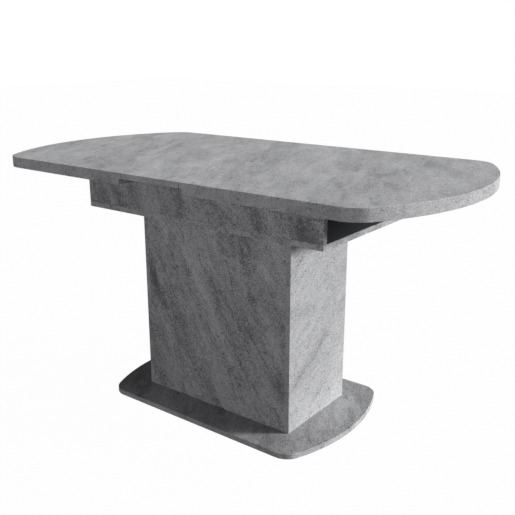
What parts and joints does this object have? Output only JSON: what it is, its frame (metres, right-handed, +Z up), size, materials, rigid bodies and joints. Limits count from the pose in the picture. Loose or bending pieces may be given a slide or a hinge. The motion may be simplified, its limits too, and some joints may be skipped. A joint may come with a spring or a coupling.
{
  "type": "extendable dining table",
  "caption": "Extendable pedestal dining table: sliding leaves with bowed ends, a loose middle insert, a storage box under the top and a panelled column on a base plate.",
  "frame": {"origin": "on the floor, under the middle of the extended top", "axes": "+Z up, +X along the top towards the open end of the box, -Y the front"},
  "size_m": [1.4, 0.75, 0.737],
  "materials": {
    "laminate_top": "matte concrete-look laminate",
    "laminate_body": "matte concrete-look laminate",
    "laminate_edge": "matte edge band in the laminate's colour",
    "raw_wood": "planed beech, unfinished",
    "zinc_steel": "zinc-plated sheet steel",
    "screw_steel": "zinc-plated screws",
    "rail_aluminium": "extruded, as drawn",
    "gear_nylon": "moulded nylon",
    "felt": "pressed felt"
  },
  "bodies": {
    "frame": {"base_plate": "laminate_body", "base_screws": "screw_steel", "box_back_side": "laminate_body", "box_bottom_board": "laminate_body", "box_bottom_screws": "screw_steel", "box_floor_screws": "screw_steel", "box_front_side": "laminate_body", "box_left_end": "laminate_body", "bridge_screws": "screw_steel", "channel_screws": "screw_steel", "column_back_panel": "laminate_body", "column_dowels": "raw_wood", "column_front_panel": "laminate_body", "column_left_panel": "laminate_body", "column_right_panel": "laminate_body", "cross_rail_dowels": "raw_wood", "cross_rail_left": "raw_wood", "cross_rail_right": "raw_wood", "floor_pads": "felt", "pinion_axle": "screw_steel", "slide_channel_left_back": "zinc_steel", "slide_channel_left_front": "zinc_steel", "slide_channel_right_back": "zinc_steel", "slide_channel_right_front": "zinc_steel", "sync_bridge": "zinc_steel"},
    "left_leaf": {"left_back_rail": "rail_aluminium", "left_back_runner": "raw_wood", "left_back_strip": "laminate_edge", "left_end_strip": "laminate_edge", "left_front_rail": "rail_aluminium", "left_front_runner": "raw_wood", "left_front_strip": "laminate_edge", "left_leaf_screws": "screw_steel", "left_leaf_top": "laminate_top", "left_rack": "gear_nylon", "left_rack_spacer": "raw_wood"},
    "right_leaf": {"right_back_rail": "rail_aluminium", "right_back_runner": "raw_wood", "right_back_strip": "laminate_edge", "right_end_strip": "laminate_edge", "right_front_rail": "rail_aluminium", "right_front_runner": "raw_wood", "right_front_strip": "laminate_edge", "right_leaf_screws": "screw_steel", "right_leaf_top": "laminate_top", "right_rack": "gear_nylon", "right_rack_spacer": "raw_wood"},
    "insert": {"insert_board": "laminate_top", "insert_pads": "felt"},
    "pinion": {"sync_pinion": "gear_nylon"}
  },
  "joints": [
    {"name": "left_leaf_slide", "type": "slide", "parent": "frame", "child": "left_leaf", "axis": [1, 0, 0], "range_m": [0, 0.1]},
    {"name": "right_leaf_slide", "type": "slide", "parent": "frame", "child": "right_leaf", "axis": [-1, 0, 0], "range_m": [0, 0.1]},
    {"name": "pinion_turn", "type": "hinge", "parent": "frame", "child": "pinion", "pos_m": [0, 0, 0.68], "axis": [0, 0, -1], "range_deg": [0, 320]},
    {"name": "insert_lift", "type": "slide", "parent": "frame", "child": "insert", "axis": [0, 0, 1], "range_m": [0, 0.6]}
  ],
  "couplings": [
    {"joint": "right_leaf_slide", "follows": "left_leaf_slide", "ratio": 1},
    {"joint": "pinion_turn", "follows": "left_leaf_slide", "rad_per_m": 55.556},
    {"joint": "insert_lift", "follows": "left_leaf_slide", "ratio": 6}
  ]
}
